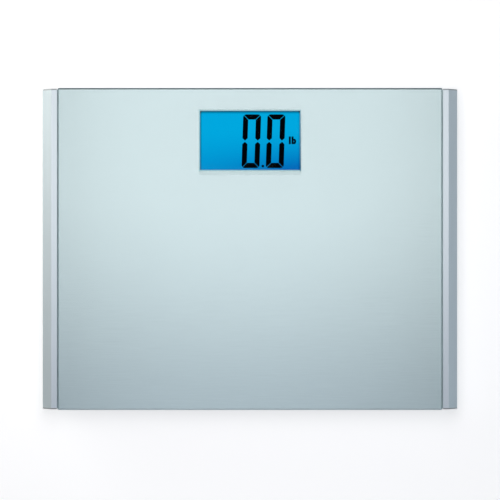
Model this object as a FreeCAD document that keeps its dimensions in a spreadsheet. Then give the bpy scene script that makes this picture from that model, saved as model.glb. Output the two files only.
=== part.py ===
import FreeCAD, Part
import math
import os
import re

import Sketcher
from FreeCAD import Placement, Rotation, Vector

# A digital bathroom scale: a glass platform between two aluminium side rails, with a display
# under the glass and four sensing feet below.  +X is the width, +Y points to the display side,
# +Z is up, and the origin is on the floor under the middle.  Millimetres.

doc = FreeCAD.newDocument("bathroom_scale")

# ---------------------------------------------------------------- driving dimensions
SIZES = {
    "glass_width": 364.6, "glass_depth": 305.0, "glass_thickness": 6.0,
    "glass_corner": 1.5, "glass_bevel": 1.4,
    "film_thickness": 0.2, "film_inset": 0.4,
    "tape_thickness": 0.8, "tape_inset": 10.0, "tape_width": 16.0, "tape_margin": 1.0,
    "deck_thickness": 1.8, "skirt_depth": 3.2, "shell_wall": 2.0, "shell_corner": 9.0,
    "body_inset": 6.0, "chassis_rib": 1.4,
    "floor_clearance": 5.5, "tray_floor": 2.0, "tray_round": 2.4, "tray_rib": 3.5,
    "rib_width": 1.5, "rib_column": 100.0, "rib_setback": 3.3, "rib_step": 24.65,
    "rail_gap": 0.5, "rail_flat": 5.3, "rail_slope": 8.9, "rail_drop": 12.0,
    "rail_chamfer": 3.5, "rail_wall": 1.6, "rail_flange": 16.0, "flange_thickness": 1.5,
    "rail_setback": 0.7,
    "cap_thickness": 1.2, "cap_plug": 8.0, "cap_round": 0.9, "cap_clearance": 0.15,
    "fit_gap": 0.1, "side_gap": 0.3,
    "foot_edge": 5.5, "foot_radius": 22.0, "foot_wall": 2.0, "foot_base": 1.8,
    "foot_skirt": 1.2, "foot_flange": 2.5, "flange_height": 1.2, "foot_play": 0.6,
    "foot_travel": 0.5, "foot_clearance": 1.0, "post_radius": 5.0, "foot_headroom": 0.4,
    "pad_thickness": 2.2, "pad_groove": 0.7, "groove_width": 1.2, "groove_step": 7.0,
    "pad_chamfer": 0.8,
    "collar_wall": 2.0, "collar_height": 1.1,
    "retainer_lap": 1.0, "retainer_bore": 12.0, "retainer_thickness": 1.4,
    "ear_radius": 4.5, "ear_gap": 3.5, "boss_radius": 3.5,
    "sensor_side": 34.0, "sensor_plate": 1.8, "sensor_tongue": 6.5, "sensor_slot": 1.6,
    "sensor_slot_reach": 11.6, "seat_radius": 24.0, "seat_bore": 13.0,
    "gauge_offset": 7.5, "gauge_length": 7.0, "gauge_width": 6.0,
    "cable_radius": 1.0, "lead_radius": 0.8, "lead_turn": 8.0, "lead_spacing": 3.0,
    "lead_pad_inner": 20.0, "lead_pad_outer": 27.0, "cable_clearance": 0.2, "rest_side": 4.0,
    "cable_margin": 10.0, "cable_row": 20.0,
    "window_width": 97.0, "window_depth": 58.2, "window_inset": 20.47, "window_rim": 1.1,
    "panel_margin": 4.0, "panel_thickness": 2.8, "panel_step": 0.6, "lip_thickness": 0.55,
    "frame_margin": 8.0, "diffuser_thickness": 0.2, "guide_thickness": 2.6,
    "reflector_thickness": 0.2, "zebra_width": 2.0, "led_width": 2.0,
    "display_clearance": 0.2, "display_ear": 8.0, "display_ear_height": 2.0,
    "board_thickness": 1.6, "board_apron": 8.5, "chip_radius": 8.0, "chip_height": 1.6,
    "plug_width": 8.0, "plug_depth": 5.0, "plug_height": 2.8, "plug_inner": 44.0,
    "plug_outer": 54.0, "plug_setback": 1.5,
    "cell_diameter": 10.5, "cell_length": 43.7, "nub_radius": 1.9, "nub_length": 0.8,
    "battery_gap": 0.5, "battery_side_gap": 0.6, "battery_shift": -3.0,
    "contact_thickness": 0.4, "contact_width": 8.0, "spring_length": 5.5, "spring_wire": 0.35,
    "spring_turns": 4.0, "spring_radius": 3.4, "bay_wall": 1.6, "hinge_zone": 4.6,
    "latch_zone": 3.4,
    "door_thickness": 1.8, "door_gap": 0.3, "barrel_radius": 1.5, "barrel_setback": 2.3,
    "pin_radius": 0.9, "pin_clearance": 0.15, "pin_engagement": 1.1, "latch_width": 14.0,
    "latch_height": 3.0, "latch_arm": 1.4, "finger_depth": 1.0, "finger_reach": 7.0,
    "grip_height": 0.4, "grip_setback": 3.0, "grip_width": 1.0, "label_width": 76.0,
    "label_height": 30.0, "label_depth": 0.3,
    "button_radius": 5.0, "button_proud": 0.3, "button_flange": 1.4, "button_x": 38.0,
    "button_setback": 8.0, "button_travel": 0.6, "switch_side": 6.0, "switch_height": 1.9,
    "plunger_radius": 1.6, "plunger_proud": 0.8, "stem_radius": 1.5,
    "post_wall_radius": 4.5, "screw_radius": 1.4, "screw_play": 0.2, "screw_bite": 0.05,
    "head_radius": 2.8, "head_height": 2.0, "head_level": 6.0, "screw_top_cover": 0.9,
    "screw_column": 90.0, "screw_margin": 9.0, "centre_screw_column": 60.0,
    "rail_screw_row": 70.0, "rail_screw_inset": 6.0,
    "small_radius": 1.1, "small_head": 2.1, "small_head_height": 1.4, "recess_width": 0.7,
    "recess_depth": 0.9, "recess_share": 0.62,
}

sheet = doc.addObject("Spreadsheet::Sheet", "sizes")
for row, (alias, number) in enumerate(SIZES.items(), start=1):
    sheet.set("A%d" % row, alias)
    sheet.set("B%d" % row, str(number))
    sheet.setAlias("B%d" % row, alias)
doc.recompute()

# Levels and places that follow from the driving dimensions, each a bound property of one object.
layout = doc.addObject("App::FeaturePython", "layout")
holders = {alias: "sizes" for alias in SIZES}


def linked(text):
    """Point each name in an expression at the object that holds its value."""
    return re.sub(r"[a-z]+(?:_[a-z]+)+", lambda name: holders[name.group()] + "." + name.group(), text)


def derive(name, text):
    """Add one derived value to the layout, bound to the sizes it comes from."""
    layout.addProperty("App::PropertyFloat", name)
    layout.setExpression(name, linked(text))
    holders[name] = "layout"


def value(text):
    """The number that an expression gives now."""
    result = sheet.evalExpression(linked(text))
    return float(getattr(result, "Value", result))


# Heights, stacked up from the floor: the battery cells set how deep the body is.
derive("tray_low", "floor_clearance")
derive("tray_in", "floor_clearance + tray_floor")
derive("cell_low", "tray_low + door_thickness + side_gap")
derive("cell_centre", "cell_low + cell_diameter / 2")
derive("deck_low", "cell_low + cell_diameter + fit_gap")
derive("deck_top", "deck_low + deck_thickness")
derive("film_low", "deck_top + tape_thickness")
derive("glass_low", "film_low + film_thickness")
derive("glass_top", "glass_low + glass_thickness")
derive("parting_level", "deck_low - skirt_depth")
derive("flange_top", "parting_level + flange_thickness")
derive("rib_low", "deck_low - chassis_rib")
derive("rib_top", "tray_in + tray_rib")
# The foot and its sensor.
derive("foot_flange_low", "tray_in + foot_play")
derive("foot_flange_top", "foot_flange_low + flange_height")
derive("retainer_low", "foot_flange_top + foot_travel + foot_headroom")
derive("sensor_low", "retainer_low + retainer_thickness")
derive("sensor_top", "sensor_low + sensor_plate")
# The display, hung down from the film.
derive("lip_top", "film_low - fit_gap / 2")
derive("panel_top", "lip_top - lip_thickness")
derive("panel_low", "panel_top - panel_thickness")
derive("diffuser_low", "panel_low - diffuser_thickness")
derive("guide_low", "diffuser_low - guide_thickness")
derive("board_top", "guide_low - reflector_thickness")
derive("board_low", "board_top - board_thickness")
derive("ear_top", "board_top + display_ear_height")
derive("cable_level", "board_top + cable_radius + cable_clearance")
# Screws driven up from the underside.
derive("head_top", "tray_low + head_level")
derive("screw_tip", "deck_top - screw_top_cover")
derive("pilot_radius", "screw_radius + screw_bite")
derive("small_pilot", "small_radius + screw_bite")
# Plan positions.
derive("glass_half_x", "glass_width / 2")
derive("glass_half_y", "glass_depth / 2")
derive("shell_half_x", "glass_half_x - body_inset")
derive("shell_half_y", "glass_half_y - body_inset")
derive("inner_half_x", "shell_half_x - shell_wall")
derive("inner_half_y", "shell_half_y - shell_wall")
derive("rail_inner_x", "glass_half_x + rail_gap")
derive("rail_outer_x", "rail_inner_x + rail_flat + rail_slope")
derive("flange_inner_x", "rail_inner_x - rail_flange")
derive("shoulder_level", "glass_top - rail_drop")
derive("cap_outer_y", "glass_half_y - rail_setback")
derive("rail_half_y", "cap_outer_y - cap_thickness")
derive("collar_bore", "foot_radius + foot_flange + foot_clearance")
derive("foot_inset", "collar_bore + collar_wall + shell_wall + foot_edge")
derive("foot_x", "shell_half_x - foot_inset")
derive("foot_y", "shell_half_y - foot_inset")
derive("foot_hole", "foot_radius + foot_clearance")
derive("retainer_radius", "foot_radius + retainer_lap")
derive("ear_reach", "foot_radius + foot_flange + ear_gap")
derive("ear_step", "ear_reach * sqrt(0.5)")
derive("window_half_x", "window_width / 2")
derive("window_far", "glass_half_y - window_inset")
derive("window_near", "window_far - window_depth")
derive("panel_half_x", "window_half_x + panel_margin")
derive("panel_near", "window_near - panel_margin")
derive("panel_far", "window_far + panel_margin")
derive("frame_half_x", "window_half_x + frame_margin")
derive("frame_near", "window_near - frame_margin")
derive("frame_far", "window_far + frame_margin")
derive("board_half_x", "frame_half_x + display_ear")
derive("board_near", "frame_near - board_apron")
derive("rib_row", "board_near - rib_setback")
derive("board_screw_x", "frame_half_x + display_ear / 2")
derive("board_screw_near", "panel_near + display_ear")
derive("board_screw_far", "panel_far - display_ear")
derive("plug_near", "board_near + plug_setback")
derive("bay_half_x", "(cell_length + nub_length + spring_length) / 2 + contact_thickness")
derive("cells_half_y", "2 * cell_diameter + 1.5 * battery_gap + battery_side_gap")
derive("bay_near", "battery_shift - cells_half_y - latch_zone")
derive("bay_far", "battery_shift + cells_half_y + hinge_zone")
derive("hinge_y", "bay_far - barrel_setback")
derive("hinge_level", "tray_low + barrel_radius")
derive("button_y", "window_near + button_setback")
derive("switch_low", "board_low - switch_height")
derive("plunger_low", "switch_low - plunger_proud")
derive("button_top", "tray_in + fit_gap + flange_height")
derive("screw_row", "shell_half_y - screw_margin")
derive("near_row", "bay_near - bay_wall - rib_step")
derive("label_y", "near_row - latch_width")
derive("rail_screw_x", "shell_half_x - rail_screw_inset")
doc.recompute()

# ---------------------------------------------------------------- ways of making a piece
pieces = []


def finish_piece(piece, name):
    """Name a finished sub-part and keep it for checking and writing."""
    piece.Label = name
    pieces.append(piece)
    return piece


def new_body(name):
    """An empty body that will become the sub-part of that name."""
    return finish_piece(doc.addObject("PartDesign::Body", name), name)


def origin_feature(body, role):
    """One of the body's own origin planes or axes."""
    return [feature for feature in body.Origin.OriginFeatures if feature.Role == role][0]


def fix_point(sketch, geometry, place, x, y):
    """Hold one point of a sketch at two bound distances from its origin."""
    for kind, text in (("DistanceX", x), ("DistanceY", y)):
        index = sketch.addConstraint(Sketcher.Constraint(kind, -1, 1, geometry, place, value(text)))
        sketch.setExpression("Constraints[%d]" % index, linked(text))


def polygon(points):
    """A closed outline through points, each an (x, y) pair of expressions."""
    def draw(sketch):
        start = sketch.GeometryCount
        corners = [Vector(value(x), value(y), 0) for x, y in points]
        count = len(corners)
        for i, corner in enumerate(corners):
            sketch.addGeometry(Part.LineSegment(corner, corners[(i + 1) % count]), False)
        for i, (x, y) in enumerate(points):
            after = start + (i + 1) % count
            sketch.addConstraint(Sketcher.Constraint("Coincident", start + i, 2, after, 1))
            fix_point(sketch, start + i, 1, x, y)
    return draw


def rectangle(left, right, near, far):
    """A closed outline between two x and two y expressions."""
    return polygon([(left, near), (right, near), (right, far), (left, far)])


def circle(x, y, radius):
    """A circle whose centre and radius are expressions."""
    def draw(sketch):
        centre = Vector(value(x), value(y), 0)
        ring = sketch.addGeometry(Part.Circle(centre, Vector(0, 0, 1), value(radius)), False)
        index = sketch.addConstraint(Sketcher.Constraint("Radius", ring, value(radius)))
        sketch.setExpression("Constraints[%d]" % index, linked(radius))
        fix_point(sketch, ring, 3, x, y)
    return draw


def new_sketch(body, name, role, offset, shapes):
    """A sketch of the shapes on one of the body's origin planes, moved along its normal."""
    sketch = body.newObject("Sketcher::SketchObject", name)
    sketch.AttachmentSupport = [(origin_feature(body, role), "")]
    sketch.MapMode = "FlatFace"
    sketch.setExpression("AttachmentOffset.Base.z", linked(offset))
    for draw in shapes:
        draw(sketch)
    return sketch


def add(body, name, low, high, *shapes):
    """Pad the shapes from one height up to another."""
    sketch = new_sketch(body, name + "_outline", "XY_Plane", low, shapes)
    pad = body.newObject("PartDesign::Pad", name)
    pad.Profile = sketch
    pad.setExpression("Length", linked("(%s) - (%s)" % (high, low)))
    doc.recompute()


def remove(body, name, low, high, *shapes):
    """Pocket the shapes from one height down to another, and check that material went."""
    before = body.Shape.Volume
    sketch = new_sketch(body, name + "_outline", "XY_Plane", high, shapes)
    pocket = body.newObject("PartDesign::Pocket", name)
    pocket.Profile = sketch
    pocket.setExpression("Length", linked("(%s) - (%s)" % (high, low)))
    doc.recompute()
    if body.Shape.Volume >= before:
        raise RuntimeError(name + " cuts nothing")


def across(body, name, kind, role, half_length, *shapes):
    """Pad or pocket the shapes both ways from an upright origin plane."""
    sketch = new_sketch(body, name + "_outline", role, "0", shapes)
    feature = body.newObject("PartDesign::" + kind, name)
    feature.Profile = sketch
    feature.Midplane = True
    feature.setExpression("Length", linked("2 * (%s)" % half_length))
    doc.recompute()


def turn(body, name, points):
    """Revolve an outline of (radius, height) points about the body's Z axis."""
    sketch = new_sketch(body, name + "_outline", "XZ_Plane", "0", [polygon(points)])
    revolution = body.newObject("PartDesign::Revolution", name)
    revolution.Profile = sketch
    revolution.ReferenceAxis = (origin_feature(body, "Z_Axis"), [""])
    revolution.Angle = 360
    doc.recompute()


def dress(body, kind, size, chosen):
    """Fillet or chamfer the edges of the body that the test picks."""
    base = body.Tip
    names = ["Edge%d" % (i + 1) for i, edge in enumerate(base.Shape.Edges) if chosen(edge)]
    if not names:
        raise RuntimeError("no edge of %s takes the %s" % (body.Label, kind))
    feature = body.newObject("PartDesign::" + kind, "%s_%s" % (body.Label, kind.lower()))
    feature.Base = (base, names)
    feature.setExpression("Radius" if kind == "Fillet" else "Size", linked(size))
    doc.recompute()


def is_upright(edge):
    """A straight edge along Z."""
    ends = edge.Vertexes
    return len(ends) == 2 and abs(ends[0].Z - ends[1].Z) > edge.Length - 1e-6


def is_corner(half_x, half_y):
    """A test for upright edges at the corners of a centred rectangle."""
    across_x, across_y = value(half_x), value(half_y)

    def chosen(edge):
        middle = edge.BoundBox.Center
        return (is_upright(edge) and abs(abs(middle.x) - across_x) < 1e-6
                and abs(abs(middle.y) - across_y) < 1e-6)
    return chosen


def lies_at(level):
    """A test for edges that lie at one height."""
    height = value(level)
    return lambda edge: abs(edge.BoundBox.ZMin - height) < 1e-6 and abs(edge.BoundBox.ZMax - height) < 1e-6


def place(piece, x, y, z):
    """Bind a piece's position to three expressions."""
    for axis, text in zip("xyz", (x, y, z)):
        piece.setExpression(".Placement.Base." + axis, linked(text))


def box(name, left, right, near, far, low, high):
    """A box between bound limits on each axis."""
    solid = doc.addObject("Part::Box", name)
    solid.setExpression("Length", linked("(%s) - (%s)" % (right, left)))
    solid.setExpression("Width", linked("(%s) - (%s)" % (far, near)))
    solid.setExpression("Height", linked("(%s) - (%s)" % (high, low)))
    place(solid, left, near, low)
    return solid


def cylinder(name, x, y, low, high, radius):
    """An upright cylinder at a bound place, between two heights."""
    solid = doc.addObject("Part::Cylinder", name)
    solid.setExpression("Radius", linked(radius))
    solid.setExpression("Height", linked("(%s) - (%s)" % (high, low)))
    place(solid, x, y, low)
    return solid


def fuse(name, solids):
    """Join overlapping solids into one."""
    joined = doc.addObject("Part::MultiFuse", name)
    joined.Shapes = solids
    return joined


def subtract(name, base, tools):
    """Cut several solids out of one."""
    result = doc.addObject("Part::Cut", name)
    result.Base = base
    result.Tool = fuse(name + "_tools", tools) if len(tools) > 1 else tools[0]
    return result


def group(name, solids):
    """Several separate solids that share one sub-part."""
    compound = doc.addObject("Part::Compound", name)
    compound.Links = solids
    return finish_piece(compound, name)


def copies(name, master, places):
    """The same solid at several bound places, as one sub-part."""
    links = []
    for i, (x, y, angle) in enumerate(places):
        link = doc.addObject("App::Link", "%s_%d" % (name, i + 1))
        link.LinkedObject = master
        link.Placement = Placement(Vector(), Rotation(Vector(0, 0, 1), angle))
        link.setExpression(".Placement.Base.x", linked(x))
        link.setExpression(".Placement.Base.y", linked(y))
        links.append(link)
    return group(name, links)


def signed(sign, text):
    """The expression, or its negative."""
    return "(%s)" % text if sign > 0 else "(-(%s))" % text


def four_corners(x, y):
    """The four mirror images of a place, with their signs."""
    return [(a, b, signed(a, x), signed(b, y)) for b in (-1, 1) for a in (-1, 1)]


def screws(name, places, head_top, tip, shank, head, head_height):
    """Pan-head screws driven upwards, each with a cross recess, as one sub-part."""
    low = "%s - %s" % (head_top, head_height)
    solid = fuse(name + "_blank", [
        cylinder(name + "_head", "0", "0", low, head_top, head),
        cylinder(name + "_shank", "0", "0", "%s - fit_gap" % head_top, tip, shank),
    ])
    arm = "%s * recess_share" % head
    slot = "recess_width / 2"
    recess = [
        box(name + "_slot_a", "-(%s)" % arm, arm, "-(%s)" % slot, slot, low, low + " + recess_depth"),
        box(name + "_slot_b", "-(%s)" % slot, slot, "-(%s)" % arm, arm, low, low + " + recess_depth"),
    ]
    screw = subtract(name + "_screw", solid, recess)
    return copies(name, screw, [(x, y, 0) for x, y in places])


# ---------------------------------------------------------------- platform
def make_glass():
    """Tempered glass with ground corners and a bevel round its top edge."""
    glass = new_body("glass_platform")
    add(glass, "glass_sheet", "glass_low", "glass_top",
        rectangle("-glass_half_x", "glass_half_x", "-glass_half_y", "glass_half_y"))
    dress(glass, "Fillet", "glass_corner", is_upright)
    dress(glass, "Chamfer", "glass_bevel", lies_at("glass_top"))


def make_film():
    """Silver backing film under the glass, with the display window cut out."""
    film = new_body("backing_film")
    add(film, "film_sheet", "film_low", "glass_low",
        rectangle("-glass_half_x + film_inset", "glass_half_x - film_inset",
                  "-glass_half_y + film_inset", "glass_half_y - film_inset"),
        rectangle("-window_half_x", "window_half_x", "window_near", "window_far"))
    dress(film, "Fillet", "glass_corner", lambda edge: is_upright(edge)
          and abs(edge.BoundBox.XMax) > value("window_half_x + glass_corner"))


def make_tape():
    """Die-cut foam tape that bonds the film to the chassis, in one ladder-shaped piece."""
    tape = new_body("bond_tape")
    outer_x = "glass_half_x - tape_inset"
    outer_y = "glass_half_y - tape_inset"
    inner_x = outer_x + " - tape_width"
    inner_y = outer_y + " - tape_width"
    rung = "board_half_x + tape_width"
    near = "-(%s)" % inner_y
    add(tape, "tape_ladder", "deck_top", "film_low",
        rectangle("-(%s)" % outer_x, outer_x, "-(%s)" % outer_y, outer_y),
        rectangle("-(%s)" % inner_x, "-(%s)" % rung, near, inner_y),
        rectangle("-board_half_x", "board_half_x", near, "frame_near - tape_width"),
        rectangle("-board_half_x", "board_half_x", "frame_near - tape_margin", "frame_far + tape_margin / 2"),
        rectangle(rung, inner_x, near, inner_y))


# ---------------------------------------------------------------- side rails
def rail_outline(inset):
    """The rail's section without its flange, moved in from the outside by an inset."""
    mitre_top = "(%s) * tan(atan(rail_drop / rail_slope) / 2)" % inset
    mitre_side = "(%s) * tan((90 deg - atan(rail_drop / rail_slope)) / 2)" % inset
    mitre_low = "(%s) * tan(22.5)" % inset
    return [
        ("rail_inner_x + (%s)" % inset, "tray_low + (%s)" % inset),
        ("rail_outer_x - rail_chamfer - " + mitre_low, "tray_low + (%s)" % inset),
        ("rail_outer_x - (%s)" % inset, "tray_low + rail_chamfer + " + mitre_low),
        ("rail_outer_x - (%s)" % inset, "shoulder_level - " + mitre_side),
        ("rail_inner_x + rail_flat - " + mitre_top, "glass_top - (%s)" % inset),
        ("rail_inner_x + (%s)" % inset, "glass_top - (%s)" % inset),
    ]


def make_rail(name, angle):
    """Hollow aluminium extrusion with the flange that the shell halves clamp."""
    rail = new_body(name)
    flange = [
        ("rail_inner_x", "flange_top"),
        ("flange_inner_x", "flange_top"),
        ("flange_inner_x", "parting_level"),
        ("rail_inner_x", "parting_level"),
    ]
    across(rail, name + "_extrusion", "Pad", "XZ_Plane", "rail_half_y",
           polygon(rail_outline("0") + flange), polygon(rail_outline("rail_wall")))
    remove(rail, name + "_screw_holes", "parting_level", "flange_top",
           *[circle("rail_screw_x", y, "screw_radius + screw_play") for y in RAIL_SCREW_ROWS])
    rail.Placement = Placement(Vector(), Rotation(Vector(0, 0, 1), angle))


def make_cap(name, angle, end):
    """Moulded end cap: a plate over the rail's end with a plug that pushes into it."""
    cap = new_body(name)
    near = "rail_half_y" if end > 0 else "-rail_half_y"
    step = "(cap_thickness)" if end > 0 else "-(cap_thickness)"
    plug = "(cap_plug)" if end > 0 else "-(cap_plug)"
    plate_sketch = new_sketch(cap, name + "_plate_outline", "XZ_Plane",
                              "-(%s + %s)" % (near, step), [polygon(rail_outline("0"))])
    plate = cap.newObject("PartDesign::Pad", name + "_plate")
    plate.Profile = plate_sketch
    plate.setExpression("Length", linked("cap_thickness"))
    plate.Reversed = end < 0
    doc.recompute()
    outer = value("%s + %s" % (near, step))
    dress(cap, "Fillet", "cap_round", lambda edge: abs(edge.BoundBox.YMin - outer) < 1e-6
          and abs(edge.BoundBox.YMax - outer) < 1e-6)
    plug_sketch = new_sketch(cap, name + "_plug_outline", "XZ_Plane", "-(%s)" % near,
                             [polygon(rail_outline("rail_wall + cap_clearance"))])
    insert = cap.newObject("PartDesign::Pad", name + "_plug")
    insert.Profile = plug_sketch
    insert.setExpression("Length", linked("cap_plug"))
    insert.Reversed = end < 0
    doc.recompute()
    inside = value("%s - %s" % (near, plug))
    reach = cap.Shape.BoundBox
    if min(abs(reach.YMin - inside), abs(reach.YMax - inside)) > 1e-6:
        raise RuntimeError(name + " plug points out of the rail")
    cap.Placement = Placement(Vector(), Rotation(Vector(0, 0, 1), angle))


# ---------------------------------------------------------------- shell
RAIL_SCREW_ROWS = ["-rail_screw_row", "0", "rail_screw_row"]
RAIL_SCREWS = [(signed(side, "rail_screw_x"), y) for side in (-1, 1) for y in RAIL_SCREW_ROWS]
BASE_SCREWS = (
    [(x, y) for a, b, x, y in four_corners("screw_column", "screw_row")]
    + [("0", "-screw_row")]
    + [(signed(side, "centre_screw_column"), "0") for side in (-1, 1)]
)
BOARD_SCREWS = [(signed(side, "board_screw_x"), y)
                for side in (-1, 1) for y in ("board_screw_near", "board_screw_far")]
FEET = four_corners("foot_x", "foot_y")
# The retainer's two ears lie on the diagonal that runs along the corner of the shell.
RETAINER_SCREWS = [(x + " + " + signed(tip, "ear_step"), y + " + " + signed(-tip * a * b, "ear_step"))
                   for a, b, x, y in FEET for tip in (-1, 1)]


def battery_y(index):
    """The middle of one battery cell, counted from the near side."""
    return "battery_shift + %s * (cell_diameter + battery_gap)" % (index - 1.5)


def cable_route(a, b):
    """A sensor cable's corner points, from the gauge cover of one foot to its plug."""
    start = "foot_x - gauge_length / 2"
    column = "foot_x - seat_radius - cable_margin"
    row = "board_near - cable_row"
    plug = "plug_inner"
    if b > 0:
        column = "foot_x - seat_radius - 2 * cable_margin"
        row = "board_near - cable_row / 2"
        plug = "plug_outer"
    level = signed(b, "foot_y - gauge_offset")
    return [
        (signed(a, start), level),
        (signed(a, column), level),
        (signed(a, column), row),
        (signed(a, plug), row),
        (signed(a, plug), "plug_near"),
    ]


def make_tray():
    """Moulded lower shell with the feet's openings, the battery bay and the screw posts."""
    tray = new_body("base_tray")
    add(tray, "tray_block", "tray_low", "parting_level",
        rectangle("-shell_half_x", "shell_half_x", "-shell_half_y", "shell_half_y"))
    remove(tray, "tray_hollow", "tray_in", "parting_level",
           rectangle("-inner_half_x", "inner_half_x", "-inner_half_y", "inner_half_y"))
    dress(tray, "Fillet", "shell_corner - shell_wall", is_corner("inner_half_x", "inner_half_y"))
    dress(tray, "Fillet", "shell_corner", is_corner("shell_half_x", "shell_half_y"))
    dress(tray, "Fillet", "tray_round", lies_at("tray_low"))
    half = "rib_width / 2"
    add(tray, "tray_rows", "tray_in", "rib_top",
        *[rectangle("-inner_half_x", "inner_half_x", "%s - %s" % (y, half), "%s + %s" % (y, half))
          for y in ("near_row", "0", "rib_row")])
    add(tray, "tray_columns", "tray_in", "rib_top",
        *[rectangle("%s - %s" % (x, half), "%s + %s" % (x, half), "-inner_half_y", "inner_half_y")
          for x in ("-rib_column", "-centre_screw_column", "centre_screw_column", "rib_column")])
    add(tray, "foot_collars", "tray_in", "tray_in + collar_height",
        *[shape for a, b, x, y in FEET
          for shape in (circle(x, y, "collar_bore"), circle(x, y, "collar_bore + collar_wall"))])
    add(tray, "screw_posts", "tray_in", "parting_level",
        *[circle(x, y, "post_wall_radius") for x, y in BASE_SCREWS + RAIL_SCREWS])
    add(tray, "bay_block", "tray_low", "deck_low - fit_gap",
        rectangle("-bay_half_x - bay_wall", "bay_half_x + bay_wall",
                  "bay_near - bay_wall", "bay_far + bay_wall"))
    remove(tray, "bay_hollow", "tray_low", "deck_low - fit_gap",
           rectangle("-bay_half_x", "bay_half_x", "bay_near", "bay_far"))
    rest = "rest_side / 2"
    rests = []
    for a, b, x, y in FEET:
        route = cable_route(a, b)
        for (x0, y0), (x1, y1) in ((route[1], route[2]), (route[2], route[3])):
            middle_x = "((%s) + (%s)) / 2" % (x0, x1)
            middle_y = "((%s) + (%s)) / 2" % (y0, y1)
            rests.append(rectangle("%s - %s" % (middle_x, rest), "%s + %s" % (middle_x, rest),
                                   "%s - %s" % (middle_y, rest), "%s + %s" % (middle_y, rest)))
    add(tray, "cable_rests", "tray_in", "cable_level - cable_radius - cable_clearance", *rests)
    remove(tray, "foot_holes", "tray_low", "tray_in",
           *[circle(x, y, "foot_hole") for a, b, x, y in FEET])
    remove(tray, "screw_holes", "tray_low", "parting_level",
           *[circle(x, y, "screw_radius + screw_play") for x, y in BASE_SCREWS + RAIL_SCREWS])
    remove(tray, "screw_wells", "tray_low", "head_top",
           *[circle(x, y, "head_radius + screw_play * 2") for x, y in BASE_SCREWS + RAIL_SCREWS])
    remove(tray, "button_hole", "tray_low", "tray_in",
           circle("button_x", "button_y", "button_radius + side_gap"))
    remove(tray, "finger_recess", "tray_low", "tray_low + finger_depth",
           rectangle("-latch_width / 2", "latch_width / 2", "bay_near - finger_reach", "bay_near"))
    remove(tray, "label_recess", "tray_low", "tray_low + label_depth",
           rectangle("-label_width / 2", "label_width / 2",
                     "label_y - label_height / 2", "label_y + label_height / 2"))
    remove(tray, "lead_notches", "cable_level - lead_radius - cable_clearance", "deck_low - fit_gap",
           *[rectangle("-bay_half_x - bay_wall", "-bay_half_x",
                       "%s - lead_radius - cable_clearance" % y, "%s + lead_radius + cable_clearance" % y)
             for y in (battery_y(0), battery_y(3))])
    across(tray, "hinge_holes", "Pocket", "YZ_Plane",
           "bay_half_x + pin_engagement + fit_gap",
           circle("hinge_y", "hinge_level", "pin_radius + pin_clearance"))


def make_chassis():
    """Moulded upper shell: the deck under the glass, its skirt, bosses and sensor seats."""
    chassis = new_body("top_chassis")
    add(chassis, "deck", "deck_low", "deck_top",
        rectangle("-shell_half_x", "shell_half_x", "-shell_half_y", "shell_half_y"))
    add(chassis, "skirt", "parting_level", "deck_low",
        rectangle("-shell_half_x", "shell_half_x", "-shell_half_y", "shell_half_y"))
    remove(chassis, "skirt_hollow", "parting_level", "deck_low",
           rectangle("-inner_half_x", "inner_half_x", "-inner_half_y", "inner_half_y"))
    dress(chassis, "Fillet", "shell_corner - shell_wall", is_corner("inner_half_x", "inner_half_y"))
    dress(chassis, "Fillet", "shell_corner", is_corner("shell_half_x", "shell_half_y"))
    half = "rib_width / 2"
    add(chassis, "chassis_rows", "rib_low", "deck_low",
        *[rectangle("-inner_half_x", "inner_half_x", "%s - %s" % (y, half), "%s + %s" % (y, half))
          for y in ("near_row", "near_row * 2")])
    add(chassis, "chassis_columns", "rib_low", "deck_low",
        *[rectangle("%s - %s" % (x, half), "%s + %s" % (x, half), "-inner_half_y", "inner_half_y")
          for x in ("-rib_column", "rib_column")])
    add(chassis, "sensor_seats", "sensor_top", "deck_low",
        *[shape for a, b, x, y in FEET
          for shape in (circle(x, y, "seat_bore"), circle(x, y, "seat_radius"))])
    add(chassis, "retainer_bosses", "sensor_low", "deck_low",
        *[circle(x, y, "boss_radius") for x, y in RETAINER_SCREWS])
    add(chassis, "screw_bosses", "parting_level", "deck_low",
        *[circle(x, y, "post_wall_radius") for x, y in BASE_SCREWS])
    add(chassis, "rail_bosses", "flange_top + fit_gap", "deck_low",
        *[circle(x, y, "post_wall_radius") for x, y in RAIL_SCREWS])
    add(chassis, "board_bosses", "ear_top", "deck_low",
        *[circle(x, y, "display_ear / 2 - fit_gap") for x, y in BOARD_SCREWS])
    remove(chassis, "display_opening", "rib_low", "deck_top",
           rectangle("-frame_half_x - side_gap", "frame_half_x + side_gap",
                     "frame_near - side_gap", "frame_far + side_gap"))
    remove(chassis, "flange_recesses", "parting_level", "flange_top + fit_gap",
           rectangle("flange_inner_x - side_gap", "shell_half_x", "-rail_half_y", "rail_half_y"),
           rectangle("-shell_half_x", "-flange_inner_x + side_gap", "-rail_half_y", "rail_half_y"))
    notch = "cable_radius + 3 * cable_clearance"
    notches = []
    for a, b, x, y in FEET:
        level = signed(b, "foot_y - gauge_offset")
        ends = [signed(a, "foot_x - seat_radius - fit_gap"), signed(a, "foot_x - gauge_length / 2")]
        left, right = ends if a > 0 else ends[::-1]
        notches.append(rectangle(left, right, "%s - (%s)" % (level, notch), "%s + %s" % (level, notch)))
    remove(chassis, "cable_notches", "sensor_top", "rib_low", *notches)
    remove(chassis, "screw_pilots", "parting_level", "screw_tip + fit_gap",
           *[circle(x, y, "pilot_radius") for x, y in BASE_SCREWS + RAIL_SCREWS])
    remove(chassis, "small_pilots", "sensor_low", "screw_tip + fit_gap",
           *[circle(x, y, "small_pilot") for x, y in RETAINER_SCREWS + BOARD_SCREWS])


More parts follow.
